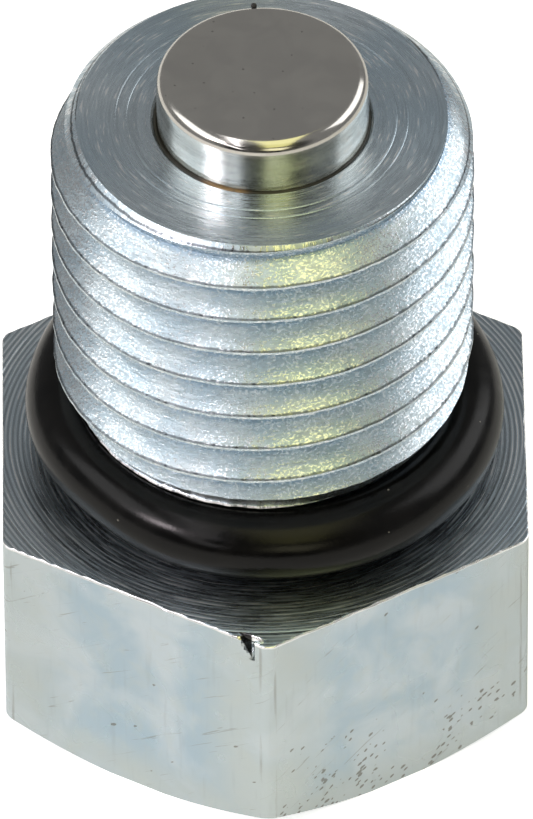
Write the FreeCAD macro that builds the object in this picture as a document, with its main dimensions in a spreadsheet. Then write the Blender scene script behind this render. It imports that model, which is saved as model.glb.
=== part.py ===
# Magnetic oil drain plug, M12 x 1.25 with a 15 mm hexagon head.
# A turned steel plug, a bar magnet let into its nose and an o-ring round its neck.
# The origin is the centre of the head's outer face, and +Z runs along the plug to its nose.
import FreeCAD, Part
import Sketcher
import os

doc = FreeCAD.newDocument("oil_drain_plug")

# Driving sizes, in millimetres and degrees.
SIZES = [
    ("hex_across_flats", 15.0, "wrench size of the head"),
    ("hex_corner_radius", 0.42, "rounding of the head's upright edges"),
    ("head_height", 7.5, "outer face to the face under the o-ring"),
    ("head_bevel_dia", 15.1, "circle where the bevel meets the outer face"),
    ("head_bevel_angle", 30.0, "slope of the bevel from the outer face"),
    ("under_head_length", 12.5, "head to the end of the nose"),
    ("thread_major_dia", 12.0, "outside of the M12 x 1.25 thread"),
    ("lead_chamfer", 0.8, "45 degree lead-in at the nose"),
    ("relief_length", 0.96, "taper at the thread's foot, where the neck tool ran out"),
    ("relief_angle", 30.0, "slope of that taper from the axis"),
    ("neck_dia", 9.6, "relief between the head and the thread"),
    ("neck_root_radius", 0.2, "fillet at the foot of the neck"),
    ("ring_section", 2.0, "thickness of the o-ring"),
    ("ring_fit", 0.03, "room between the neck and the o-ring"),
    ("ring_lift", 0.32, "o-ring's low side above the head"),
    ("ring_top_play", 0.02, "o-ring's high side below the thread"),
    ("ring_tilt", 1.0, "the o-ring sits a little crooked on the neck"),
    ("magnet_dia", 6.0, "round bar magnet"),
    ("magnet_length", 6.0, "whole length of the magnet"),
    ("magnet_edge_radius", 0.28, "rounding of the magnet's two rims"),
    ("magnet_reach", 1.67, "magnet standing proud of the nose"),
    ("magnet_fit", 0.03, "bonding gap round the magnet"),
    ("bore_mouth_chamfer", 0.12, "45 degree edge break at the bore's mouth"),
]

dims = doc.addObject("Spreadsheet::Sheet", "Dims")
for row, (name, value, note) in enumerate(SIZES, start=1):
    dims.set(f"A{row}", name)
    dims.set(f"B{row}", str(value))
    dims.set(f"C{row}", note)
    dims.setAlias(f"B{row}", name)
doc.recompute()

# Places that more than one piece shares, as expressions over the sheet.
NOSE_END = "(Dims.head_height + Dims.under_head_length)"
RING_RADIUS = "(Dims.neck_dia / 2 + Dims.ring_fit + Dims.ring_section / 2)"
RING_SWING = f"({RING_RADIUS} * sin(Dims.ring_tilt))"
RING_HEIGHT = f"(Dims.head_height + Dims.ring_lift + {RING_SWING} + Dims.ring_section / 2)"
THREAD_FOOT = f"({RING_HEIGHT} + Dims.ring_section / 2 + {RING_SWING} + Dims.ring_top_play)"
BORE_RADIUS = "(Dims.magnet_dia / 2 + Dims.magnet_fit)"
BORE_FLOOR = f"({NOSE_END} + Dims.magnet_reach - Dims.magnet_length)"


def new_body(label):
    body = doc.addObject("PartDesign::Body", label)
    body.Label = label
    return body


def new_sketch(body, name, plane):
    """A sketch on one of the body's own origin planes."""
    sketch = body.newObject("Sketcher::SketchObject", name)
    planes = {item.Role: item for item in body.Origin.OriginFeatures}
    sketch.AttachmentSupport = [(planes[plane], "")]
    sketch.MapMode = "FlatFace"
    return sketch


def outline(sketch, corners):
    """A closed run of lines through the corners, in order, with shared ends."""
    points = [FreeCAD.Vector(x, y, 0) for x, y in corners]
    ends = points[1:] + points[:1]
    for start, end in zip(points, ends):
        sketch.addGeometry(Part.LineSegment(start, end), False)
    for i in range(len(points)):
        after = (i + 1) % len(points)
        sketch.addConstraint(Sketcher.Constraint("Coincident", i, 2, after, 1))


def half_section(body, name, corners):
    """A closed outline in the XZ plane, each corner held at (radius, height) by the sheet."""
    sketch = new_sketch(body, name, "XZ_Plane")
    outline(sketch, [(float(sketch.evalExpression(r)), float(sketch.evalExpression(z))) for r, z in corners])
    for line, (radius, height) in enumerate(corners):
        for kind, axis, rule in (("DistanceX", -2, radius), ("DistanceY", -1, height)):
            if rule == "0":
                sketch.addConstraint(Sketcher.Constraint("PointOnObject", line, 1, axis))
            else:
                index = sketch.addConstraint(Sketcher.Constraint(kind, -1, 1, line, 1, 1.0))
                sketch.setExpression(f"Constraints[{index}]", rule)
    return sketch


def turned(body, kind, name, sketch):
    """Turn a half-section about Z: PartDesign::Revolution adds, PartDesign::Groove cuts."""
    before = body.Shape.Volume if body.Tip else 0.0
    feature = body.newObject(kind, name)
    feature.Profile = sketch
    feature.ReferenceAxis = (sketch, ["V_Axis"])
    feature.Angle = 360.0
    doc.recompute()
    grew = body.Shape.Volume - before
    if (grew > 0) != (kind == "PartDesign::Revolution"):
        raise ValueError(f"{name} changed the volume the wrong way")
    return feature


def round_edges(body, name, base, chosen, radius):
    """Fillet those edges of a feature that the test picks."""
    picked = [f"Edge{i}" for i, edge in enumerate(base.Shape.Edges, start=1) if chosen(edge)]
    fillet = body.newObject("PartDesign::Fillet", name)
    fillet.Base = (base, picked)
    fillet.setExpression("Radius", radius)
    doc.recompute()
    return fillet


# The plug is turned from hexagon bar, so head, neck and threaded shank are one solid.
plug = new_body("plug_body")

# A corner of the hexagon points along -Y.
hexagon = new_sketch(plug, "hexagon", "XY_Plane")
outline(hexagon, [(0, -8.7), (7.5, -4.3), (7.5, 4.3), (0, 8.7), (-7.5, 4.3), (-7.5, -4.3)])
corner_circle = hexagon.addGeometry(Part.Circle(FreeCAD.Vector(0, 0, 0), FreeCAD.Vector(0, 0, 1), 8.7), True)
hexagon.addConstraint(Sketcher.Constraint("Coincident", corner_circle, 3, -1, 1))
for side in range(6):
    hexagon.addConstraint(Sketcher.Constraint("PointOnObject", side, 1, corner_circle))
for side in range(1, 6):
    hexagon.addConstraint(Sketcher.Constraint("Equal", 0, side))
hexagon.addConstraint(Sketcher.Constraint("PointOnObject", 0, 1, -2))
across = hexagon.addConstraint(Sketcher.Constraint("DistanceX", 5, 1, 1, 1, 15.0))
hexagon.setExpression(f"Constraints[{across}]", "Dims.hex_across_flats")

head = plug.newObject("PartDesign::Pad", "head")
head.Profile = hexagon
head.setExpression("Length", "Dims.head_height")
doc.recompute()


def is_upright(edge):
    start, end = edge.Vertexes[0].Point, edge.Vertexes[-1].Point
    return abs(start.z - end.z) > 1.0


head_corners = round_edges(plug, "head_corners", head, is_upright, "Dims.hex_corner_radius")

# The bevel takes the corners off the outer face, as bar stock is chamfered before parting off.
bevel_reach = "(Dims.hex_across_flats / sqrt(3) + 1)"
bevel_rise = f"(({bevel_reach} - Dims.head_bevel_dia / 2) * tan(Dims.head_bevel_angle))"
turned(plug, "PartDesign::Groove", "head_bevel", half_section(plug, "bevel_section", [
    ("Dims.head_bevel_dia / 2", "0"),
    (bevel_reach, "0"),
    (bevel_reach, bevel_rise),
]))

# Neck, thread land and lead-in chamfer. The neck's length follows the o-ring it has to hold.
shank = turned(plug, "PartDesign::Revolution", "shank", half_section(plug, "shank_section", [
    ("0", "Dims.head_height"),
    ("Dims.neck_dia / 2", "Dims.head_height"),
    ("Dims.neck_dia / 2", THREAD_FOOT),
    ("Dims.thread_major_dia / 2 - Dims.relief_length * tan(Dims.relief_angle)", THREAD_FOOT),
    ("Dims.thread_major_dia / 2", f"{THREAD_FOOT} + Dims.relief_length"),
    ("Dims.thread_major_dia / 2", f"{NOSE_END} - Dims.lead_chamfer"),
    ("Dims.thread_major_dia / 2 - Dims.lead_chamfer", NOSE_END),
    ("0", NOSE_END),
]))


def is_neck_root(edge):
    box = edge.BoundBox
    level = abs(box.ZMin - dims.head_height) + abs(box.ZMax - dims.head_height) < 0.01
    return level and abs(box.XMax - dims.neck_dia / 2) < 0.01


neck_root = round_edges(plug, "neck_root", shank, is_neck_root, "Dims.neck_root_radius")

# Blind, flat-bottomed bore for the magnet, with its mouth broken.
turned(plug, "PartDesign::Groove", "magnet_bore", half_section(plug, "bore_section", [
    ("0", BORE_FLOOR),
    (BORE_RADIUS, BORE_FLOOR),
    (BORE_RADIUS, f"{NOSE_END} - Dims.bore_mouth_chamfer"),
    (f"{BORE_RADIUS} + Dims.bore_mouth_chamfer", NOSE_END),
    (f"{BORE_RADIUS} + Dims.bore_mouth_chamfer", f"{NOSE_END} + 1"),
    ("0", f"{NOSE_END} + 1"),
]))

# The magnet stands on the floor of the bore and its far end shows beyond the nose.
magnet = new_body("magnet")
bar = turned(magnet, "PartDesign::Revolution", "bar", half_section(magnet, "bar_section", [
    ("0", "0"),
    ("Dims.magnet_dia / 2", "0"),
    ("Dims.magnet_dia / 2", "Dims.magnet_length"),
    ("0", "Dims.magnet_length"),
]))


def is_rim(edge):
    return edge.BoundBox.ZLength < 0.01 and edge.BoundBox.XLength > 1.0 and len(edge.Vertexes) == 1


rims = round_edges(magnet, "rims", bar, is_rim, "Dims.magnet_edge_radius")
magnet.setExpression("Placement.Base.z", BORE_FLOOR)

# The o-ring is round in section. It lies on the neck, clear of the head on every side, one side low.
o_ring = new_body("o_ring")
cord = new_sketch(o_ring, "cord_section", "XZ_Plane")
cord.addGeometry(Part.Circle(FreeCAD.Vector(5.6, 0, 0), FreeCAD.Vector(0, 0, 1), 1.0), False)
cord.addConstraint(Sketcher.Constraint("PointOnObject", 0, 3, -1))
reach = cord.addConstraint(Sketcher.Constraint("DistanceX", -1, 1, 0, 3, 5.6))
cord.setExpression(f"Constraints[{reach}]", RING_RADIUS)
thickness = cord.addConstraint(Sketcher.Constraint("Diameter", 0, 2.0))
cord.setExpression(f"Constraints[{thickness}]", "Dims.ring_section")
turned(o_ring, "PartDesign::Revolution", "cord", cord)
o_ring.Placement = FreeCAD.Placement(FreeCAD.Vector(0, 0, 0), FreeCAD.Rotation(FreeCAD.Vector(0, 1, 0), 1))
o_ring.setExpression("Placement.Base.z", RING_HEIGHT)
o_ring.setExpression("Placement.Rotation.Angle", "Dims.ring_tilt")

doc.recompute()

faults = [item.Name for item in doc.Objects if "Invalid" in item.State or "Error" in item.State]
if faults:
    raise ValueError(f"these objects failed: {faults}")

pieces = [plug, magnet, o_ring]
for piece in pieces:
    if piece.Shape.isNull() or not piece.Shape.isValid() or len(piece.Shape.Solids) != 1:
        raise ValueError(f"{piece.Label} is not one sound solid")

os.makedirs("parts", exist_ok=True)
for piece in pieces:
    piece.Shape.exportStep(f"parts/{piece.Label}.step")
    box = piece.Shape.BoundBox
    print(f"{piece.Label}: {piece.Shape.Volume:.2f} mm3, z {box.ZMin:.3f} to {box.ZMax:.3f}")
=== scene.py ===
import math

import bmesh
import bpy
from mathutils import Matrix, Vector, noise


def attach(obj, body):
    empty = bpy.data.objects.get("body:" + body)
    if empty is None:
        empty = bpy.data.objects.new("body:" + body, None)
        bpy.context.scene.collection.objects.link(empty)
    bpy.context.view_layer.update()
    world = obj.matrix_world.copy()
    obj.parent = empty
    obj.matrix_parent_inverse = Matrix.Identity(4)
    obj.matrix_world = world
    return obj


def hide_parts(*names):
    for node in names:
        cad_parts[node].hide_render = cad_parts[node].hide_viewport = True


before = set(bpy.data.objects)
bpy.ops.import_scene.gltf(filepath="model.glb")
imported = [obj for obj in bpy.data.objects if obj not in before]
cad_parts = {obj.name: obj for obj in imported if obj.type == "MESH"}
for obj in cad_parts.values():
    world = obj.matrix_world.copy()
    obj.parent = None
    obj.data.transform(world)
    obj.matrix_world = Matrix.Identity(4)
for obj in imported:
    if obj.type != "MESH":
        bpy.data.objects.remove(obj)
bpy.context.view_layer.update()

# Camera. It looks 44 degrees down on a corner of the hexagon, from half a metre away through a
# long lens, as the photograph was taken. The picture is 533 by 819 pixels.
PICTURE = (533, 819)
VIEW_ELEVATION, VIEW_AZIMUTH, VIEW_ROLL = (math.radians(a) for a in (43.898, -0.464, -0.332))
VIEW_TARGET = Vector((0, 0, 0.009447))
VIEW_DISTANCE = 0.50894
FOCAL_PIXELS = 17793
TARGET_PIXEL = (263.67, 387.58)
SENSOR_MM = 36

back = Vector((
    math.sin(VIEW_AZIMUTH) * math.cos(VIEW_ELEVATION),
    -math.cos(VIEW_AZIMUTH) * math.cos(VIEW_ELEVATION),
    math.sin(VIEW_ELEVATION),
))
level_right = Vector((0, 0, 1)).cross(back).normalized()
level_up = back.cross(level_right)
right = level_right * math.cos(VIEW_ROLL) + level_up * math.sin(VIEW_ROLL)
up = level_up * math.cos(VIEW_ROLL) - level_right * math.sin(VIEW_ROLL)
aside = (PICTURE[0] / 2 - TARGET_PIXEL[0]) / FOCAL_PIXELS
above = (TARGET_PIXEL[1] - PICTURE[1] / 2) / FOCAL_PIXELS
axis = (back - right * aside - up * above).normalized()
camera = bpy.data.objects.new("Camera", bpy.data.cameras.new("Camera"))
bpy.context.scene.collection.objects.link(camera)
camera.data.lens = FOCAL_PIXELS / PICTURE[1] * SENSOR_MM
camera.data.sensor_width = SENSOR_MM
camera.data.clip_start, camera.data.clip_end = 0.01, 10
side = up.cross(axis).normalized()
turn = Matrix((side, axis.cross(side), axis)).transposed()
camera.matrix_world = Matrix.Translation(VIEW_TARGET + back * VIEW_DISTANCE) @ turn.to_4x4()
bpy.context.scene.camera = camera

# Plug body. One piece of free-cutting steel turned from hexagon bar, with an M12 x 1.25 right-hand
# thread cut by a die, then plated with zinc and passivated to a pale blue. Its hexagon stands with
# one corner towards the camera.
MM = 0.001
TURNED, FLAT, THREAD, BURR = 0, 1, 2, 3

# Sizes, in millimetres: the head first, then the neck, the nose, the thread and the bore.
# RIM_BURR says how far the bar's upper rim stands out at a height; CORNER_REACH is half the
# hexagon's width across its rounded corners; CREST_OVER_X is the height of a crest at +X.
HEAD_HEIGHT = 7.5
HEAD_FACE_RADIUS = 7.55
HEAD_BLANK_RADIUS = 9.1
BEVEL_HEIGHT = 0.895
SEAT_BLANK_RADIUS = 9.05
SEAT_FEED = 0.142
SEAT_GROOVE = 0.024
HEX_ACROSS_FLATS = 15.0
HEX_CORNER_RADIUS = 0.42
CORNER_REACH = 8.594
BAR_LEVELS = (-1, 6.6, 6.8, 6.9, 7.0, 7.1, 7.2, 7.3, 7.37, 7.42, 7.45, 7.475, 7.49, 7.52, 7.6, 30)
RIM_BURR = {7.42: 0.012, 7.45: 0.016, 7.475: 0.004, 7.49: -0.022, 7.52: -0.06, 7.6: -0.06}
BURR_ROUGHNESS = 0.022
DENT_LEFT, DENT_RIGHT = -0.80, -0.40
DENT_SLOPE = 1.9
DENT_DEPTH = 0.24
LIP_HALF_SIZE = (0.40, 0.07, 0.12)
LIP_TURN = -27
LIP_PLACE = (-0.42, -8.20, 7.50)
NECK_RADIUS = 4.8
NECK_TOP = 10.4
LAND_FOOT = 9.83
LAND_FOOT_RADIUS = 5.33
FOOT_BEAD = ((-0.06, 0), (0.04, 0.015), (0.08, 0.05), (0.05, 0.10), (0.02, 0.12), (0.07, 0.17))
FOOT_LEAN = 0.10
BEAD_SLOPE = 0.0188
LAND_BLANK_RADIUS = 6.3
RELIEF_TOP = 11.52
NOSE_END = 20.0
LEAD_IN_FOOT = 18.9
NOSE_FLAT_RADIUS = 5.26
NOSE_FEED = 0.11
NOSE_GROOVE = 0.006
SCRIBED_RADII = (4.135, 3.82)
SCRIBED_DEPTH = 0.013
SCRIBED_HALF_WIDTH = 0.03
THREAD_RADIUS = 6.0
THREAD_ROOT = 5.233
THREAD_PITCH = 1.25
CREST_OVER_X = 11.8325
CREST_FLAT = 0.09
ROOT_CROWN = 0.01
ROOT_FLAT_SHARE = 0.7
CREST_WEAR = 0.018
CREST_WANDER = 0.022
FLANK_ROWS = 5
THREAD_STEPS = 420
BORE_RADIUS = 3.03
BORE_FLOOR = 15.67
BORE_CHAMFER = 0.12
TURNING_STEPS = 256
SHARP_ANGLE = math.radians(30)


def chain(bm, points):
    """Joins (radius, height) points, in millimetres, into a line in the XZ plane."""
    verts = [bm.verts.new((r * MM, 0, z * MM)) for r, z in points]
    edges = [bm.edges.new(pair) for pair in zip(verts, verts[1:])]
    return verts + edges


def turned(points, steps=TURNING_STEPS):
    """A lathe-turned solid from its half section, which starts and ends on the axis."""
    bm = bmesh.new()
    bmesh.ops.spin(
        bm, geom=chain(bm, points), cent=(0, 0, 0), axis=(0, 0, 1),
        angle=math.tau, steps=steps, use_merge=True,
    )
    bmesh.ops.remove_doubles(bm, verts=bm.verts, dist=1e-8)
    bmesh.ops.recalc_face_normals(bm, faces=bm.faces)
    return bm


def as_object(bm, name):
    """Puts bm into the scene as an object with that name."""
    mesh = bpy.data.meshes.new(name)
    bm.to_mesh(mesh)
    bm.free()
    piece = bpy.data.objects.new(name, mesh)
    bpy.context.scene.collection.objects.link(piece)
    return piece


def combine(piece, tool, operation):
    """Cuts piece with tool, or joins the two, and deletes tool. Faces keep their material's number."""
    change = piece.modifiers.new("combine", "BOOLEAN")
    change.operation = operation
    change.object = tool
    change.solver = "EXACT"
    change.material_mode = "INDEX"
    bpy.context.view_layer.update()
    graph = bpy.context.evaluated_depsgraph_get()
    done = bpy.data.meshes.new_from_object(piece.evaluated_get(graph))
    piece.modifiers.clear()
    piece.data = done
    bpy.data.objects.remove(tool)


def paint(bm, number):
    """Gives every face of bm the material of that number, and shades it smooth."""
    for face in bm.faces:
        face.material_index = number
        face.smooth = True


def facing_grooves(outer, inner, height, feed, depth, scribed=()):
    """The grooves that a facing tool leaves, as (radius, height) points from outer to inner.

    At each scribed radius there is one line that is deeper and wider.
    """
    count = round((outer - inner) / feed)
    points = []
    for i in range(count):
        radius = outer - i * feed
        cut = depth * (0.6 + 0.5 * noise.noise(Vector((i * 0.37, feed * 40, 0))))
        points += [(radius, height), (radius - feed * 0.55, height - cut)]
    for line in scribed:
        points = [p for p in points if abs(p[0] - line) > 1.5 * SCRIBED_HALF_WIDTH]
        points += [(line + SCRIBED_HALF_WIDTH, height), (line, height - SCRIBED_DEPTH)]
        points += [(line - SCRIBED_HALF_WIDTH, height)]
    return sorted(points, reverse=True)


def hexagon_bar():
    """The bar that the head is cut from, with the burr and the dent that its upper rim took."""
    bm = bmesh.new()
    corner = HEX_ACROSS_FLATS / math.sqrt(3) * MM
    bmesh.ops.create_circle(bm, segments=6, radius=corner)
    setback = HEX_CORNER_RADIUS * math.tan(math.radians(30)) * MM
    bmesh.ops.bevel(
        bm, geom=bm.verts[:], affect="VERTICES", offset=setback, offset_type="OFFSET",
        segments=6, profile=0.5, material=-1,
    )
    sides = [e for e in bm.edges if e.calc_length() > 5 * MM]
    bmesh.ops.subdivide_edges(bm, edges=sides, cuts=90)
    bmesh.ops.translate(bm, verts=bm.verts, vec=(0, 0, BAR_LEVELS[0] * MM))
    ring = bm.edges[:]
    bmesh.ops.contextual_create(bm, geom=ring)
    for low, high in zip(BAR_LEVELS, BAR_LEVELS[1:]):
        grown = bmesh.ops.extrude_edge_only(bm, edges=ring)["geom"]
        ring = [g for g in grown if isinstance(g, bmesh.types.BMEdge)]
        rim = [g for g in grown if isinstance(g, bmesh.types.BMVert)]
        bmesh.ops.translate(bm, verts=rim, vec=(0, 0, (high - low) * MM))
    bmesh.ops.contextual_create(bm, geom=ring)
    for v in bm.verts:
        x, y, z = v.co / MM
        outward = Vector((x, y, 0)).normalized()
        rough = noise.noise(v.co * 2200) + 0.6 * noise.noise(v.co * 5200)
        rim = RIM_BURR.get(round(z, 3))
        if rim is not None:
            furthest = 0 if abs(x) > 7.4 else 0.04
            v.co += outward * min(rim + BURR_ROUGHNESS * rough, furthest) * MM
        above_dent = z - HEAD_HEIGHT + DENT_SLOPE * (x - DENT_LEFT)
        dent = min(1, (x - DENT_LEFT) / 0.10, (DENT_RIGHT - x) / 0.08, above_dent / 0.10)
        if dent > 0 and y < 0 and z < 8:
            v.co += Vector((0.5, 0.866, 0)) * DENT_DEPTH * dent * MM
        v.co.y = min(max(v.co.y, -CORNER_REACH * MM), CORNER_REACH * MM)
    bmesh.ops.recalc_face_normals(bm, faces=bm.faces)
    paint(bm, FLAT)
    return bm


def raised_lip():
    """The sliver of steel that the knock on the front corner pushed up beside its dent."""
    bm = bmesh.new()
    bmesh.ops.create_icosphere(bm, subdivisions=3, radius=1 * MM)
    for v in bm.verts:
        v.co *= 1 + 0.25 * noise.noise(v.co * 1600)
    bmesh.ops.scale(bm, verts=bm.verts, vec=LIP_HALF_SIZE)
    turn = Matrix.Rotation(math.radians(LIP_TURN), 3, "Z")
    bmesh.ops.rotate(bm, verts=bm.verts, cent=(0, 0, 0), matrix=turn)
    bmesh.ops.translate(bm, verts=bm.verts, vec=[c * MM for c in LIP_PLACE])
    paint(bm, FLAT)
    return bm


def thread_form():
    """One pitch of the thread's section, from the middle of a root to the middle of the next."""
    half_pitch = THREAD_PITCH / 2
    depth = THREAD_RADIUS - THREAD_ROOT
    flank = depth * math.tan(math.radians(30))
    crest = CREST_FLAT / 2
    root = half_pitch - crest - flank
    points = [(THREAD_ROOT, -half_pitch)]
    points.append((THREAD_ROOT + ROOT_CROWN, -half_pitch + root * ROOT_FLAT_SHARE))
    shares = [i / FLANK_ROWS for i in range(FLANK_ROWS + 1)]
    for share in shares:
        points.append((THREAD_ROOT + depth * share, -crest - flank * (1 - share)))
    for share in shares:
        points.append((THREAD_RADIUS - depth * share, crest + flank * share))
    points.append((THREAD_ROOT + ROOT_CROWN, half_pitch - root * ROOT_FLAT_SHARE))
    points.append((THREAD_ROOT, half_pitch))
    return points


def threaded_bar(bottom, top):
    """A bar with the thread all along it, from below the relief to above the nose."""
    bm = bmesh.new()
    line = chain(bm, [(r, z + CREST_OVER_X) for r, z in thread_form()])
    bmesh.ops.spin(
        bm, geom=line, cent=(0, 0, 0), axis=(0, 0, 1), dvec=(0, 0, THREAD_PITCH * MM / THREAD_STEPS),
        angle=math.tau, steps=THREAD_STEPS,
    )
    one_turn = bm.verts[:] + bm.edges[:] + bm.faces[:]
    first = math.floor((bottom - CREST_OVER_X) / THREAD_PITCH) - 1
    last = math.ceil((top - CREST_OVER_X) / THREAD_PITCH) + 1
    for number in range(first, last + 1):
        if number:
            copy = bmesh.ops.duplicate(bm, geom=one_turn)["geom"]
            verts = [g for g in copy if isinstance(g, bmesh.types.BMVert)]
            bmesh.ops.translate(bm, verts=verts, vec=(0, 0, number * THREAD_PITCH * MM))
    bmesh.ops.remove_doubles(bm, verts=bm.verts, dist=2e-7)
    for v in bm.verts:
        radius = math.hypot(v.co.x, v.co.y) / MM
        if radius > THREAD_RADIUS - 0.02:
            rough = noise.noise(v.co * 3000) + 0.7 * noise.noise(v.co * 1100)
            v.co.xy *= 1 + CREST_WEAR * min(rough - 0.5, 0) / radius
            v.co.z += CREST_WANDER * MM * noise.noise(v.co * 3400 + Vector((7, 3, 1)))
    for height, below in ((bottom, True), (top, False)):
        cut = bmesh.ops.bisect_plane(
            bm, geom=bm.verts[:] + bm.edges[:] + bm.faces[:], plane_co=(0, 0, height * MM),
            plane_no=(0, 0, 1), clear_inner=below, clear_outer=not below,
        )["geom_cut"]
        rim = [g for g in cut if isinstance(g, bmesh.types.BMEdge)]
        bmesh.ops.contextual_create(bm, geom=rim)
    bmesh.ops.recalc_face_normals(bm, faces=bm.faces)
    paint(bm, THREAD)
    return bm


head = turned(
    [(0, 0), (HEAD_FACE_RADIUS, 0)]
    + [(HEAD_BLANK_RADIUS, BEVEL_HEIGHT), (HEAD_BLANK_RADIUS, HEAD_HEIGHT)]
    + facing_grooves(SEAT_BLANK_RADIUS, NECK_RADIUS + 0.25, HEAD_HEIGHT, SEAT_FEED, SEAT_GROOVE)
    + [(NECK_RADIUS + 0.2, HEAD_HEIGHT), (NECK_RADIUS + 0.06, HEAD_HEIGHT + 0.06)]
    + [(NECK_RADIUS, HEAD_HEIGHT + 0.2), (NECK_RADIUS, NECK_TOP), (0, NECK_TOP)]
)
paint(head, TURNED)
plug = as_object(head, "plug_body_finished")
combine(plug, as_object(hexagon_bar(), "hexagon_bar"), "INTERSECT")
combine(plug, as_object(raised_lip(), "raised_lip"), "UNION")

nose = turned(
    [(0, LAND_FOOT)]
    + [(LAND_FOOT_RADIUS + wide, LAND_FOOT + high) for wide, high in FOOT_BEAD]
    + [(LAND_BLANK_RADIUS, RELIEF_TOP), (LAND_BLANK_RADIUS, LEAD_IN_FOOT)]
    + [(NOSE_FLAT_RADIUS + 0.02, NOSE_END - 0.02), (NOSE_FLAT_RADIUS - 0.01, NOSE_END)]
    + facing_grooves(
        NOSE_FLAT_RADIUS - 0.08, BORE_RADIUS + 0.15, NOSE_END, NOSE_FEED, NOSE_GROOVE, SCRIBED_RADII
    )
    + [(BORE_RADIUS + BORE_CHAMFER, NOSE_END), (BORE_RADIUS, NOSE_END - BORE_CHAMFER)]
    + [(BORE_RADIUS, BORE_FLOOR), (0, BORE_FLOOR)],
    steps=300,
)
for v in nose.verts:
    if v.co.z < (LAND_FOOT + 0.2) * MM:
        ragged = noise.noise(v.co * 2500) + 0.5 * noise.noise(v.co * 6000)
        if v.co.xy.length > LAND_FOOT_RADIUS * MM:
            v.co.xy *= 1 + 0.006 * min(ragged, 0.3)
        v.co.z -= (FOOT_LEAN * v.co.x / LAND_FOOT_RADIUS) + 0.012 * MM * ragged
paint(nose, TURNED)
for face in nose.faces:
    centre = face.calc_center_median()
    if centre.z < (LAND_FOOT + 0.09) * MM - BEAD_SLOPE * centre.x:
        face.material_index = BURR
    elif centre.xy.length > NOSE_FLAT_RADIUS * MM:
        face.material_index = THREAD
land = as_object(nose, "land")
combine(land, as_object(threaded_bar(bottom=9.0, top=20.6), "threaded_bar"), "INTERSECT")
combine(plug, land, "UNION")


def node(tree, kind, inputs=(), **settings):
    """Adds a node to tree. Each input gets a number or colour, or the output that feeds it."""
    made = tree.nodes.new("ShaderNode" + kind)
    for name, value in settings.items():
        setattr(made, name, value)
    for name, value in dict(inputs).items():
        if isinstance(value, bpy.types.NodeSocket):
            tree.links.new(value, made.inputs[name])
        else:
            made.inputs[name].default_value = value
    return made


def math_node(tree, operation, *values):
    """Works out operation on the values."""
    return node(tree, "Math", enumerate(values), operation=operation).outputs[0]


def ramp(tree, value, low, high, start=0.0, end=1.0):
    """Turns value from low..high into start..end, held at both ends."""
    inputs = {"Value": value, "From Min": low, "From Max": high, "To Min": start, "To Max": end}
    return node(tree, "MapRange", inputs, interpolation_type="SMOOTHSTEP").outputs["Result"]


def blend(tree, factor, first, second):
    """Mixes two colours: first at factor 0, second at factor 1."""
    made = node(tree, "Mix", data_type="RGBA")
    for index, value in ((0, factor), (6, first), (7, second)):
        if isinstance(value, bpy.types.NodeSocket):
            tree.links.new(value, made.inputs[index])
        else:
            made.inputs[index].default_value = value
    return made.outputs[2]


def effect(name, numbers, outputs):
    """An empty shader node group with named number inputs; returns it with its two end nodes."""
    group = bpy.data.node_groups.new(name, "ShaderNodeTree")
    for number in numbers:
        group.interface.new_socket(number, in_out="INPUT", socket_type="NodeSocketFloat")
    for output in outputs:
        group.interface.new_socket(output, in_out="OUTPUT", socket_type="NodeSocketFloat")
    return group, group.nodes.new("NodeGroupInput").outputs, group.nodes.new("NodeGroupOutput").inputs


def millimetres(tree):
    """Object coordinates in millimetres."""
    place = node(tree, "TexCoord").outputs["Object"]
    return node(tree, "VectorMath", {0: place, 1: (1000, 1000, 1000)}, operation="MULTIPLY").outputs[0]


def about_axis(tree):
    """In millimetres: the x, y and z outputs, the level vector from the part's axis, and its length."""
    place = node(tree, "SeparateXYZ", {0: millimetres(tree)}).outputs
    level = node(tree, "CombineXYZ", {0: place[0], 1: place[1]}).outputs[0]
    radius = node(tree, "VectorMath", {0: level}, operation="LENGTH").outputs["Value"]
    return place, level, radius


# Turning marks run round the axis. They are long in the direction of the cut and fine across it.
turning, given, result = effect("turning_marks", ("Across", "Along", "Seed"), ("Mark", "Dash"))
place, level, radius = about_axis(turning)
heading = node(turning, "VectorMath", {0: level}, operation="NORMALIZE").outputs[0]
stretch = {0: heading, "Scale": given["Along"]}
heading = node(turning, "VectorMath", stretch, operation="SCALE").outputs[0]
slope = math_node(turning, "MULTIPLY_ADD", place[2], 0.8, radius)
step = math_node(turning, "MULTIPLY_ADD", slope, given["Across"], given["Seed"])
step = node(turning, "CombineXYZ", {2: step}).outputs[0]
where = node(turning, "VectorMath", {0: heading, 1: step}, operation="ADD").outputs[0]
mark = node(turning, "TexNoise", {"Vector": where, "Scale": 1.0, "Detail": 3.0, "Roughness": 0.65})
turning.links.new(mark.outputs["Fac"], result["Mark"])
finer = node(turning, "VectorMath", {0: where, 1: (4.3, 4.3, 1.7)}, operation="MULTIPLY").outputs[0]
dash = node(turning, "TexNoise", {"Vector": finer, "Scale": 1.0, "Detail": 2.0, "Roughness": 0.6})
turning.links.new(dash.outputs["Fac"], result["Dash"])

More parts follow.
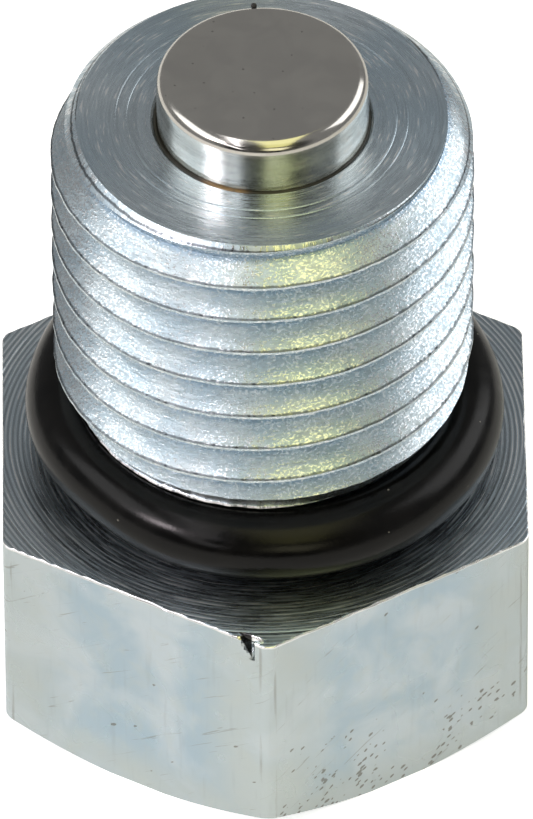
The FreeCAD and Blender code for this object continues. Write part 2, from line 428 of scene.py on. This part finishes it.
# The soft clouds of colour in a passivated plating, one size and one broader.
bloom, given, result = effect("plating_bloom", ("Scale", "Seed"), ("Bloom", "Drift"))
place = millimetres(bloom)
shift = node(bloom, "CombineXYZ", {0: given["Seed"], 1: given["Seed"]}).outputs[0]
place = node(bloom, "VectorMath", {0: place, 1: shift}, operation="ADD").outputs[0]
cloud = node(
    bloom, "TexNoise", {"Vector": place, "Scale": given["Scale"], "Detail": 4.0, "Distortion": 0.6}
)
bloom.links.new(cloud.outputs["Fac"], result["Bloom"])
broad = math_node(bloom, "MULTIPLY", given["Scale"], 0.35)
drift = node(bloom, "TexNoise", {"Vector": place, "Scale": broad, "Detail": 2.0})
bloom.links.new(drift.outputs["Fac"], result["Drift"])

# Scattered specks: grains of dust, or crumbs torn from an edge.
specks, given, result = effect("specks", ("Scale", "Share", "Size"), ("Speck",))
cell = node(specks, "TexVoronoi", {"Vector": millimetres(specks), "Scale": given["Scale"]})
chance = node(specks, "SeparateColor", {0: cell.outputs["Color"]}).outputs[0]
chosen = math_node(specks, "LESS_THAN", chance, given["Share"])
wobble = node(specks, "TexNoise", {"Vector": millimetres(specks), "Scale": 9.0, "Detail": 2.0})
reach = math_node(specks, "MULTIPLY", given["Size"], wobble.outputs["Fac"])
near = math_node(specks, "LESS_THAN", cell.outputs["Distance"], reach)
specks.links.new(math_node(specks, "MULTIPLY", chosen, near), result["Speck"])


def finish(name, metallic, roughness):
    """A material with a plain Principled shader; returns it with its tree and shader."""
    made = bpy.data.materials.new(name)
    made.use_nodes = True
    shader = made.node_tree.nodes["Principled BSDF"]
    shader.inputs["Metallic"].default_value = metallic
    shader.inputs["Roughness"].default_value = roughness
    return made, made.node_tree, shader


def placed(tree, group, **numbers):
    """Places a node group in tree with its own numbers; returns its outputs."""
    made = node(tree, "Group", node_tree=group)
    for name, value in numbers.items():
        made.inputs[name].default_value = value
    return made.outputs


def bump(tree, height, distance):
    """A normal from a height of 0 to 1, distance being its full depth in millimetres."""
    inputs = {"Height": height, "Distance": distance * MM, "Strength": 1.0}
    return node(tree, "Bump", inputs).outputs["Normal"]


ZINC_BLUE = (0.56, 0.68, 0.76, 1)
ZINC_PALE = (0.68, 0.77, 0.82, 1)
ZINC_CREAM = (0.59, 0.64, 0.63, 1)
ZINC_DULL = (0.27, 0.30, 0.32, 1)
FLAT_BLUE = (0.47, 0.59, 0.68, 1)
FLAT_PALE = (0.62, 0.70, 0.76, 1)
# Painted shade for the thread's root.
ROOT_SHADE_PAINT = (0.40, 0.54, 0.68, 1)
# The next five near white colours are painted highlights and glints.
DASH_GLINT_PAINT = (0.97, 0.99, 1.0, 1)
SEAT_CREST_HIGHLIGHT_PAINT = (0.98, 1.0, 1.0, 1)
RIM_HIGHLIGHT_PAINT = (0.95, 0.96, 0.96, 1)
GRAIN_GLINT_PAINT = (0.98, 0.99, 1.0, 1)
BEAD_HIGHLIGHT_PAINT = (0.97, 0.98, 0.97, 1)
STAIN = (0.19, 0.175, 0.145, 1)
SCRATCH = (0.24, 0.23, 0.21, 1)
CORNER_LINE_TONE = (0.26, 0.25, 0.22, 1)
DARK_EDGE = (0.07, 0.08, 0.09, 1)
# Painted shade for the knock's dent.
KNOCK_SHADE_PAINT = (0.01, 0.01, 0.01, 1)

# Faced and turned surfaces, with near white dashes as painted glints, and on the seat face painted
# highlights on the tool's crests and painted shade in its troughs.
turned_zinc, tree, shader = finish("zinc_turned", 1.0, 0.3)
marks = placed(tree, turning, Across=9.0, Along=1.4, Seed=2.0)
cloud = placed(tree, bloom, Scale=0.55, Seed=3.0)
colour = blend(tree, ramp(tree, cloud["Drift"], 0.35, 0.65), ZINC_BLUE, ZINC_PALE)
colour = blend(tree, ramp(tree, marks["Mark"], 0.35, 0.55, 0.22, 0.0), colour, ZINC_DULL)
# Near white dashes on the turned faces: painted glints.
colour = blend(tree, ramp(tree, marks["Dash"], 0.62, 0.68, 0.0, 0.9), colour, DASH_GLINT_PAINT)
place, _, radius = about_axis(tree)
wave = math_node(tree, "SINE", math_node(tree, "MULTIPLY", radius, math.tau / SEAT_FEED))
seat = ramp(tree, place[2], HEAD_HEIGHT + 0.5, HEAD_HEIGHT + 0.4)
# Painted shade in the troughs between the seat's grooves.
trough_shade = math_node(tree, "MULTIPLY", ramp(tree, wave, 0.2, -0.6, 0, 0.65), seat)
colour = blend(tree, trough_shade, colour, ZINC_DULL)
fine = ramp(tree, marks["Mark"], 0.42, 0.56, 0.2, 1.0)
# Painted highlights on the crests of the seat's grooves.
crest = math_node(tree, "MULTIPLY", ramp(tree, wave, 0.55, 0.95), fine)
crest = math_node(tree, "MULTIPLY", crest, seat)
colour = blend(tree, crest, colour, SEAT_CREST_HIGHLIGHT_PAINT)
tree.links.new(colour, shader.inputs["Base Color"])
tree.links.new(ramp(tree, marks["Dash"], 0.3, 0.7, 0.22, 0.36), shader.inputs["Roughness"])
shader.inputs["Anisotropic"].default_value = 0.7
shader.inputs["Anisotropic Rotation"].default_value = 0.25
radial = node(tree, "Tangent", direction_type="RADIAL", axis="Z").outputs[0]
tree.links.new(radial, shader.inputs["Tangent"])
tree.links.new(bump(tree, marks["Mark"], 0.010), shader.inputs["Normal"])

# The hexagon's flats, as the bar was drawn: bluish in the middle, creamy near the edges, with
# scratches, dull lines along the corners' rounding, stained pits low on the right, a painted highlight
# along the rim and painted shade on the knock's floor.
flat_zinc, tree, shader = finish("zinc_drawn_flats", 1.0, 0.3)
cloud = placed(tree, bloom, Scale=0.42, Seed=11.0)
mottle = placed(tree, bloom, Scale=1.7, Seed=5.0)
place = node(tree, "SeparateXYZ", {0: millimetres(tree)}).outputs
colour = blend(tree, ramp(tree, cloud["Bloom"], 0.36, 0.64), FLAT_BLUE, FLAT_PALE)
colour = blend(tree, ramp(tree, mottle["Bloom"], 0.44, 0.74, 0.0, 0.30), colour, ZINC_CREAM)
bearing = math_node(tree, "ARCTAN2", place[1], place[0])
bearing = math_node(tree, "MULTIPLY_ADD", bearing, 3 / math.pi, 10.0)
off_corner = math_node(tree, "SUBTRACT", math_node(tree, "FRACT", bearing), 0.5)
off_corner = math_node(tree, "ABSOLUTE", math_node(tree, "MULTIPLY", off_corner, 8.5 * math.pi / 3))
margin = math_node(tree, "MAXIMUM", ramp(tree, off_corner, 2.6, 0.6), ramp(tree, place[2], 1.9, 0.4))
margin = math_node(tree, "MULTIPLY", margin, ramp(tree, cloud["Bloom"], 0.35, 0.60, 0.85, 0.45))
colour = blend(tree, margin, colour, ZINC_CREAM)
stretch = {0: millimetres(tree), 1: (5, 5, 0.5)}
lengthwise = node(tree, "VectorMath", stretch, operation="MULTIPLY").outputs[0]
drawn = node(tree, "TexNoise", {"Vector": lengthwise, "Scale": 1.0, "Detail": 5.0}).outputs["Fac"]
colour = blend(tree, ramp(tree, drawn, 0.55, 0.80, 0.0, 0.14), colour, ZINC_DULL)
along = math_node(tree, "MULTIPLY_ADD", place[0], 0.55, math_node(tree, "MULTIPLY", place[2], 0.35))
across = math_node(tree, "MULTIPLY_ADD", place[0], -0.85, math_node(tree, "MULTIPLY", place[2], 1.1))
deep = math_node(tree, "MULTIPLY", place[1], 0.4)
skewed = node(tree, "CombineXYZ", {0: along, 1: across, 2: deep}).outputs[0]
cell = node(tree, "TexVoronoi", {"Vector": skewed, "Scale": 7.0})
chance = node(tree, "SeparateColor", {0: cell.outputs["Color"]}).outputs[0]
low_right = math_node(tree, "MULTIPLY", ramp(tree, place[2], 3.4, 1.0), ramp(tree, place[0], -0.3, 0.8))
low_right = math_node(tree, "MULTIPLY", low_right, ramp(tree, mottle["Drift"], 0.40, 0.55))
picked = math_node(tree, "LESS_THAN", chance, math_node(tree, "MULTIPLY_ADD", low_right, 0.58, 0.003))
reach = ramp(tree, drawn, 0.3, 0.7, 0.20, 0.55)
inside = math_node(tree, "SUBTRACT", reach, cell.outputs["Distance"])
pitted = math_node(tree, "MULTIPLY", picked, ramp(tree, inside, 0.0, 0.1))
colour = blend(tree, math_node(tree, "MULTIPLY", pitted, 0.7), colour, STAIN)
scratched = node(tree, "VectorMath", {0: skewed, 1: (0.5, 9, 3)}, operation="MULTIPLY").outputs[0]
inputs = {"Vector": scratched, "Scale": 1.0, "Detail": 2.0, "Distortion": 1.2}
scratch = node(tree, "TexNoise", inputs).outputs["Fac"]
colour = blend(tree, ramp(tree, scratch, 0.68, 0.74, 0.0, 0.45), colour, SCRATCH)
# Dull lines along both edges of each corner's rounding, patchy along their length.
ragged = math_node(tree, "MULTIPLY_ADD", drawn, 0.10, -0.05)
off_corner = math_node(tree, "ADD", off_corner, ragged)
corner_line = math_node(
    tree, "MULTIPLY", ramp(tree, off_corner, 0.17, 0.21), ramp(tree, off_corner, 0.27, 0.23)
)
corner_dulling = math_node(tree, "MULTIPLY", corner_line, ramp(tree, drawn, 0.46, 0.62, 0.0, 0.40))
colour = blend(tree, corner_dulling, colour, CORNER_LINE_TONE)
# Painted highlight: a near white band along the flats' top rim.
rim = ramp(tree, place[2], HEAD_HEIGHT - 0.10, HEAD_HEIGHT - 0.05)
colour = blend(tree, rim, colour, RIM_HIGHLIGHT_PAINT)
# Painted shade: the near black floor of the knock's dent.
sunk = math_node(tree, "ADD", place[2], -DENT_SLOPE * DENT_LEFT - HEAD_HEIGHT)
sunk = math_node(tree, "MULTIPLY_ADD", place[0], DENT_SLOPE, sunk)
knock = math_node(tree, "MULTIPLY", ramp(tree, sunk, 0.0, 0.06), ramp(tree, place[0], -0.42, -0.46))
knock = math_node(tree, "MULTIPLY", knock, ramp(tree, place[0], -0.84, -0.78))
knock = math_node(tree, "MULTIPLY", knock, ramp(tree, place[1], -7.5, -7.6))
colour = blend(tree, math_node(tree, "MULTIPLY", knock, 0.96), colour, KNOCK_SHADE_PAINT)
tree.links.new(colour, shader.inputs["Base Color"])
tree.links.new(ramp(tree, mottle["Drift"], 0.3, 0.7, 0.24, 0.38), shader.inputs["Roughness"])
height = math_node(tree, "MULTIPLY_ADD", pitted, -0.8, drawn)
tree.links.new(bump(tree, height, 0.006), shader.inputs["Normal"])

# The thread and lead-in: flanks with near white grains as painted glints, a blue strip of painted shade
# in the root, and a dark line along the upper edge of the crest and below the nose's rim. above_crest
# runs from -0.5 to 0.5 over a pitch.
thread_zinc, tree, shader = finish("zinc_thread", 1.0, 0.3)
marks = placed(tree, turning, Across=20.0, Along=15.0, Seed=9.0)
cloud = placed(tree, bloom, Scale=0.8, Seed=21.0)
place = node(tree, "SeparateXYZ", {0: millimetres(tree)}).outputs
lead = math_node(tree, "DIVIDE", math_node(tree, "ARCTAN2", place[1], place[0]), math.tau)
pitches = math_node(tree, "DIVIDE", math_node(tree, "SUBTRACT", place[2], CREST_OVER_X), THREAD_PITCH)
pitches = math_node(tree, "ADD", math_node(tree, "SUBTRACT", pitches, lead), 40.5)
above_crest = math_node(tree, "SUBTRACT", math_node(tree, "FRACT", pitches), 0.5)
wander = math_node(tree, "MULTIPLY_ADD", marks["Dash"], 0.04, -0.02)
above_crest = math_node(tree, "ADD", above_crest, wander)
colour = blend(tree, ramp(tree, cloud["Bloom"], 0.36, 0.62), ZINC_BLUE, ZINC_PALE)
# Painted shade: a blue strip in the root, under the crest above.
colour = blend(tree, ramp(tree, above_crest, 0.30, 0.38, 0.0, 0.9), colour, ROOT_SHADE_PAINT)
colour = blend(tree, ramp(tree, marks["Mark"], 0.36, 0.52, 0.24, 0.0), colour, ZINC_DULL)
colour = blend(tree, ramp(tree, marks["Dash"], 0.44, 0.50, 0.14, 0.0), colour, ZINC_DULL)
# Painted glints: near white grains on the flanks.
colour = blend(tree, ramp(tree, marks["Dash"], 0.54, 0.60, 0.0, 0.7), colour, GRAIN_GLINT_PAINT)
edge_line = math_node(
    tree, "MULTIPLY", ramp(tree, above_crest, 0.020, 0.032), ramp(tree, above_crest, 0.070, 0.052)
)
crumbs = placed(tree, specks, Scale=6.0, Share=0.25, Size=0.70)["Speck"]
torn = math_node(tree, "MULTIPLY_ADD", crumbs, 0.25, 0.75)
torn = math_node(tree, "MULTIPLY", torn, edge_line)
colour = blend(tree, torn, colour, DARK_EDGE)
below_nose = math_node(tree, "MULTIPLY_ADD", marks["Mark"], 0.10, place[2])
line_foot = ramp(tree, below_nose, NOSE_END - 0.13, NOSE_END - 0.10)
line_top = ramp(tree, below_nose, NOSE_END - 0.04, NOSE_END - 0.07)
rim_line = math_node(tree, "MULTIPLY", line_foot, line_top)
colour = blend(tree, math_node(tree, "MULTIPLY", rim_line, 0.85), colour, DARK_EDGE)
tree.links.new(colour, shader.inputs["Base Color"])
tree.links.new(ramp(tree, marks["Dash"], 0.35, 0.65, 0.42, 0.20), shader.inputs["Roughness"])
sparkle = math_node(tree, "MULTIPLY_ADD", marks["Dash"], 0.45, marks["Mark"])
tree.links.new(bump(tree, sparkle, 0.012), shader.inputs["Normal"])

# The torn bead where the thread runs out into the neck, painted near white as a painted highlight, with
# dull tool marks.
burr_zinc, tree, shader = finish("zinc_burr", 1.0, 0.5)
marks = placed(tree, turning, Across=6.0, Along=30.0, Seed=17.0)
# Painted highlight: the bead is near white but for dull tool marks.
colour = blend(tree, ramp(tree, marks["Mark"], 0.40, 0.50, 0.8, 0.0), BEAD_HIGHLIGHT_PAINT, ZINC_DULL)
tree.links.new(colour, shader.inputs["Base Color"])
tree.links.new(bump(tree, marks["Dash"], 0.03), shader.inputs["Normal"])

for zinc in (turned_zinc, flat_zinc, thread_zinc, burr_zinc):
    plug.data.materials.append(zinc)
plug.data.set_sharp_from_angle(angle=SHARP_ANGLE)
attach(plug, "root")
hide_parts("plug_body")

# Magnet. A nickel-plated neodymium rod, 6 mm across with rounded edges. It is glued into the bore
# and stands on the bore's floor, with its end proud of the nose and a grain of swarf on its far rim.
MAGNET_RADIUS = 3.0
MAGNET_TOP = 21.67
MAGNET_EDGE = 0.38
MAGNET_OFFSET = 0.024
EDGE_STEPS = 8
RUBBED_BELOW = 21.30
GRIT_RADIUS = 0.09
GRIT_PLACE = (-0.19, 2.98, 21.55)
NICKEL = (0.60, 0.58, 0.54, 1)
NICKEL_PALE = (0.64, 0.62, 0.575, 1)
NICKEL_RUBBED = (0.25, 0.24, 0.21, 1)
NICKEL_PIT = (0.2, 0.19, 0.17, 1)
SWARF = (0.015, 0.014, 0.013, 1)
edge_angles = [math.radians(90 * i / EDGE_STEPS) for i in range(EDGE_STEPS + 1)]
edge = [
    (MAGNET_RADIUS - MAGNET_EDGE * (1 - math.sin(a)), MAGNET_EDGE * (1 - math.cos(a)))
    for a in edge_angles
]
rod = turned(
    [(0, BORE_FLOOR)] + [(r, BORE_FLOOR + z) for r, z in edge]
    + [(r, MAGNET_TOP - z) for r, z in reversed(edge)] + [(0, MAGNET_TOP)],
    steps=192,
)
bmesh.ops.translate(rod, verts=rod.verts, vec=(MAGNET_OFFSET * MM, 0, 0))
paint(rod, 0)
grit = bmesh.ops.create_icosphere(
    rod, subdivisions=2, radius=GRIT_RADIUS * MM, matrix=Matrix.Translation(Vector(GRIT_PLACE) * MM)
)["verts"]
for v in grit:
    v.co.xy *= 1 + 0.004 * noise.noise(v.co * 9000)
    for face in v.link_faces:
        face.material_index = 1
magnet = as_object(rod, "magnet_finished")
nickel, tree, shader = finish("nickel_plate", 1.0, 0.12)
cloud = placed(tree, bloom, Scale=0.9, Seed=31.0)
clouded = ramp(tree, cloud["Bloom"], 0.35, 0.65)
colour = blend(tree, clouded, NICKEL, NICKEL_PALE)
pits = placed(tree, specks, Scale=3.6, Share=0.20, Size=0.24)["Speck"]
colour = blend(tree, math_node(tree, "MULTIPLY", pits, 0.5), colour, NICKEL_PIT)
marks = placed(tree, turning, Across=7.0, Along=1.6, Seed=13.0)
place = node(tree, "SeparateXYZ", {0: millimetres(tree)}).outputs
below_edge = ramp(tree, place[2], RUBBED_BELOW, RUBBED_BELOW - 0.08)
rubbed = math_node(tree, "MULTIPLY", ramp(tree, marks["Mark"], 0.40, 0.56, 0.28, 0.0), below_edge)
colour = blend(tree, rubbed, colour, NICKEL_RUBBED)
tree.links.new(colour, shader.inputs["Base Color"])
tree.links.new(ramp(tree, cloud["Bloom"], 0.3, 0.7, 0.12, 0.20), shader.inputs["Roughness"])
height = math_node(tree, "MULTIPLY", marks["Mark"], below_edge)
height = math_node(tree, "MULTIPLY_ADD", height, 1.2, cloud["Bloom"])
tree.links.new(bump(tree, height, 0.005), shader.inputs["Normal"])
magnet.data.materials.append(nickel)
swarf, tree, shader = finish("steel_swarf", 0.0, 0.6)
shader.inputs["Base Color"].default_value = SWARF
magnet.data.materials.append(swarf)
magnet.data.set_sharp_from_angle(angle=SHARP_ANGLE)
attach(magnet, "root")
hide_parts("magnet")

# Bond. The adhesive that holds the magnet, cured to a thin film. It fills the gap round the magnet and
# stands in the chamfer at the bore's mouth. It is painted dark as painted shade in the gap, but for an
# amber part front left, its own colour shown where the light falls.
FILM_FOOT = 18.6
FILM_INSIDE = 2.99
LIT_PLACE = (-1.1, -2.83, 19.9)
# Painted shade for the gap round the magnet; the amber is the adhesive's own colour.
BOND_SHADE_PAINT = (0.020, 0.019, 0.012, 1)
BOND_AMBER = (0.24, 0.15, 0.05, 1)
film = bmesh.new()
section = chain(film, [
    (FILM_INSIDE, FILM_FOOT), (3.026, FILM_FOOT), (3.027, NOSE_END - 0.13), (3.09, NOSE_END - 0.07),
    (3.05, NOSE_END - 0.045), (FILM_INSIDE, NOSE_END - 0.02),
])
corners = [g for g in section if isinstance(g, bmesh.types.BMVert)]
section.append(film.edges.new((corners[-1], corners[0])))
bmesh.ops.spin(
    film, geom=section, cent=(0, 0, 0), axis=(0, 0, 1), angle=math.tau, steps=192, use_merge=True
)
for v in film.verts:
    if v.co.z > (NOSE_END - 0.1) * MM:
        v.co.z += 0.03 * MM * noise.noise(v.co * 1300)
bmesh.ops.recalc_face_normals(film, faces=film.faces)
paint(film, 0)
bond = as_object(film, "bond_film")
amber, tree, shader = finish("cured_adhesive", 0.0, 0.3)
cloud = placed(tree, bloom, Scale=1.6, Seed=41.0)
# Painted shade: the film is dark all round, except front left, where it shows its amber where the light
# falls.
away = node(tree, "VectorMath", {0: millimetres(tree), 1: LIT_PLACE}, operation="DISTANCE")
clear = ramp(tree, away.outputs["Value"], 0.85, 0.35)
clear = math_node(tree, "MULTIPLY", clear, ramp(tree, cloud["Bloom"], 0.38, 0.55, 0.3, 1.0))
colour = blend(tree, clear, BOND_SHADE_PAINT, BOND_AMBER)
tree.links.new(colour, shader.inputs["Base Color"])
bond.data.materials.append(amber)
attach(bond, "root")

# O-ring. Moulded black nitrile rubber, 2 mm in section. It was pushed over the thread into the
# relief neck, where it leans a little and isn't quite round.
RING_SECTION = 1.0
RING_RADIUS = 5.83
RING_HEIGHT = 8.92
RING_TILT = 1.0
PINCH_AT, PINCH_WIDTH = 221, 19
PINCH_NARROWS, PINCH_FLATTENS = 0.10, 0.05
PINCH_INWARD, PINCH_UPWARD = 0.03, 0.07
BULGE_OUTWARD = 0.05
BULGE_AT, BULGE_WIDTH = 300, 40
SECOND_BULGE_AT, SECOND_BULGE_WIDTH = 20, 60
NITRILE = (0.002, 0.002, 0.002, 1)
NITRILE_PALE = (0.004, 0.0038, 0.0035, 1)
DUST = (0.25, 0.24, 0.21, 1)
ring_mesh = bmesh.new()
bmesh.ops.create_circle(
    ring_mesh, segments=48, radius=RING_SECTION * MM,
    matrix=Matrix.Translation((RING_RADIUS * MM, 0, 0)) @ Matrix.Rotation(math.radians(90), 4, "X"),
)
bmesh.ops.spin(
    ring_mesh, geom=ring_mesh.verts[:] + ring_mesh.edges[:], cent=(0, 0, 0), axis=(0, 0, 1),
    angle=math.tau, steps=240, use_merge=True,
)
for v in ring_mesh.verts:
    around = math.degrees(math.atan2(v.co.y, v.co.x)) % 360
    from_second = (around + 180) % 360 - 180 - SECOND_BULGE_AT
    pinch = math.exp(-(((around - PINCH_AT) / PINCH_WIDTH) ** 2))
    bulge = math.exp(-(((around - BULGE_AT) / BULGE_WIDTH) ** 2))
    bulge += math.exp(-((from_second / SECOND_BULGE_WIDTH) ** 2))
    outward = BULGE_OUTWARD * min(bulge, 1) - PINCH_INWARD * pinch
    middle = v.co.xy.normalized() * RING_RADIUS * MM
    v.co.xy = middle + (v.co.xy - middle) * (1 - PINCH_NARROWS * pinch)
    v.co.xy *= 1 + outward / RING_RADIUS
    v.co.z *= 1 - PINCH_FLATTENS * pinch
    v.co.z += PINCH_UPWARD * MM * pinch
bmesh.ops.rotate(
    ring_mesh, verts=ring_mesh.verts, cent=(0, 0, 0),
    matrix=Matrix.Rotation(math.radians(RING_TILT), 3, "Y"),
)
bmesh.ops.translate(ring_mesh, verts=ring_mesh.verts, vec=(0, 0, RING_HEIGHT * MM))
bmesh.ops.recalc_face_normals(ring_mesh, faces=ring_mesh.faces)
paint(ring_mesh, 0)
o_ring = as_object(ring_mesh, "o_ring_finished")
nitrile, tree, shader = finish("nitrile_rubber", 0.0, 0.3)
cloud = placed(tree, bloom, Scale=1.1, Seed=51.0)
grain = placed(tree, bloom, Scale=14.0, Seed=61.0)
clouded = ramp(tree, cloud["Bloom"], 0.35, 0.65)
colour = blend(tree, clouded, NITRILE, NITRILE_PALE)
dust = placed(tree, specks, Scale=2.6, Share=0.16, Size=0.13)["Speck"]
colour = blend(tree, math_node(tree, "MULTIPLY", dust, 0.8), colour, DUST)
tree.links.new(colour, shader.inputs["Base Color"])
tree.links.new(ramp(tree, cloud["Bloom"], 0.3, 0.7, 0.17, 0.25), shader.inputs["Roughness"])
tree.links.new(bump(tree, grain["Bloom"], 0.004), shader.inputs["Normal"])
shader.inputs["Specular IOR Level"].default_value = 0.22
o_ring.data.materials.append(nitrile)
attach(o_ring, "root")
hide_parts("o_ring")

# Floor and light. A white table, soft boxes left and right, and white strips and yellow-green ceiling
# panels above. The camera and reflections see a little more of the table than the lamps give it,
# less to the right. The room is grey, and dark in front, where the camera stands.
floor_mesh = bmesh.new()
bmesh.ops.create_grid(floor_mesh, x_segments=1, y_segments=1, size=0.6)
floor = as_object(floor_mesh, "floor")
floor_paint, tree, shader = finish("white_table", 0.0, 0.7)
shader.inputs["Base Color"].default_value = (0.92, 0.92, 0.92, 1)
shader.inputs["Specular IOR Level"].default_value = 0.1
ray = node(tree, "LightPath").outputs
sideways = node(tree, "SeparateXYZ", {0: millimetres(tree)}).outputs[0]
mirrored = ramp(tree, sideways, -8, 12, 0.13, 0.05)
mirrored = math_node(tree, "MULTIPLY", ray["Is Glossy Ray"], mirrored)
seen = math_node(tree, "MULTIPLY_ADD", ray["Is Camera Ray"], 0.72, mirrored)
glow = node(tree, "Emission", {"Strength": seen}).outputs[0]
both = node(tree, "AddShader", {0: shader.outputs[0], 1: glow}).outputs[0]
tree.links.new(both, tree.nodes["Material Output"].inputs["Surface"])
floor.data.materials.append(floor_paint)


def soft_box(name, place, size, power, colour, slant=0):
    """A rectangular lamp that faces the part, its long side front to back, turned by slant degrees."""
    lamp = bpy.data.lights.new(name, "AREA")
    lamp.shape = "RECTANGLE"
    lamp.size, lamp.size_y = size
    lamp.energy = power
    lamp.color = colour
    away = (Vector(place) - VIEW_TARGET).normalized()
    across = Vector((0, 1, 0)).cross(away).normalized()
    facing = Matrix((across, away.cross(across), away)).transposed().to_4x4()
    slanted = Matrix.Rotation(math.radians(slant), 4, "Z")
    holder = bpy.data.objects.new(name, lamp)
    holder.matrix_world = Matrix.Translation(place) @ facing @ slanted
    bpy.context.scene.collection.objects.link(holder)


soft_box("left_box", (-0.43, -0.06, 0.42), (0.32, 0.50), 0.85, (1, 1, 1))
soft_box("right_box", (0.44, 0.20, 0.36), (0.32, 0.50), 0.85, (1, 1, 1))
soft_box("left_front", (-0.37, -0.27, 0.38), (0.10, 0.09), 0.92, (1, 0.88, 0.92))
soft_box("strip", (-0.17, -0.14, 0.56), (0.045, 0.70), 0.44, (1, 0.97, 1), -17)
soft_box("strip_front", (-0.33, -0.50, 0.34), (0.05, 0.34), 0.22, (1, 0.97, 1))
soft_box("ceiling_front", (0.13, -0.58, 0.30), (0.24, 0.20), 0.24, (1.0, 0.95, 0.62))
soft_box("ceiling", (0.09, -0.16, 0.56), (0.22, 0.66), 0.55, (1.0, 0.96, 0.40), 8)
FRONT = (0, -0.906, 0.423)
world = bpy.data.worlds.new("studio")
bpy.context.scene.world = world
world.use_nodes = True
tree = world.node_tree
room = tree.nodes["Background"]
heading = node(tree, "TexCoord").outputs["Generated"]
forward = node(tree, "VectorMath", {0: heading, 1: FRONT}, operation="DOT_PRODUCT")
shade = ramp(tree, forward.outputs["Value"], 0.64, 0.82, 0.25, 0.03)
tree.links.new(shade, room.inputs["Color"])
sky = node(tree, "Background", {"Color": (1, 1, 1, 1)}).outputs[0]
seen = node(tree, "LightPath").outputs["Is Camera Ray"]
mixed = node(tree, "MixShader", {0: seen, 1: room.outputs[0], 2: sky}).outputs[0]
tree.links.new(mixed, tree.nodes["World Output"].inputs["Surface"])
bpy.context.scene.view_settings.view_transform = "Standard"
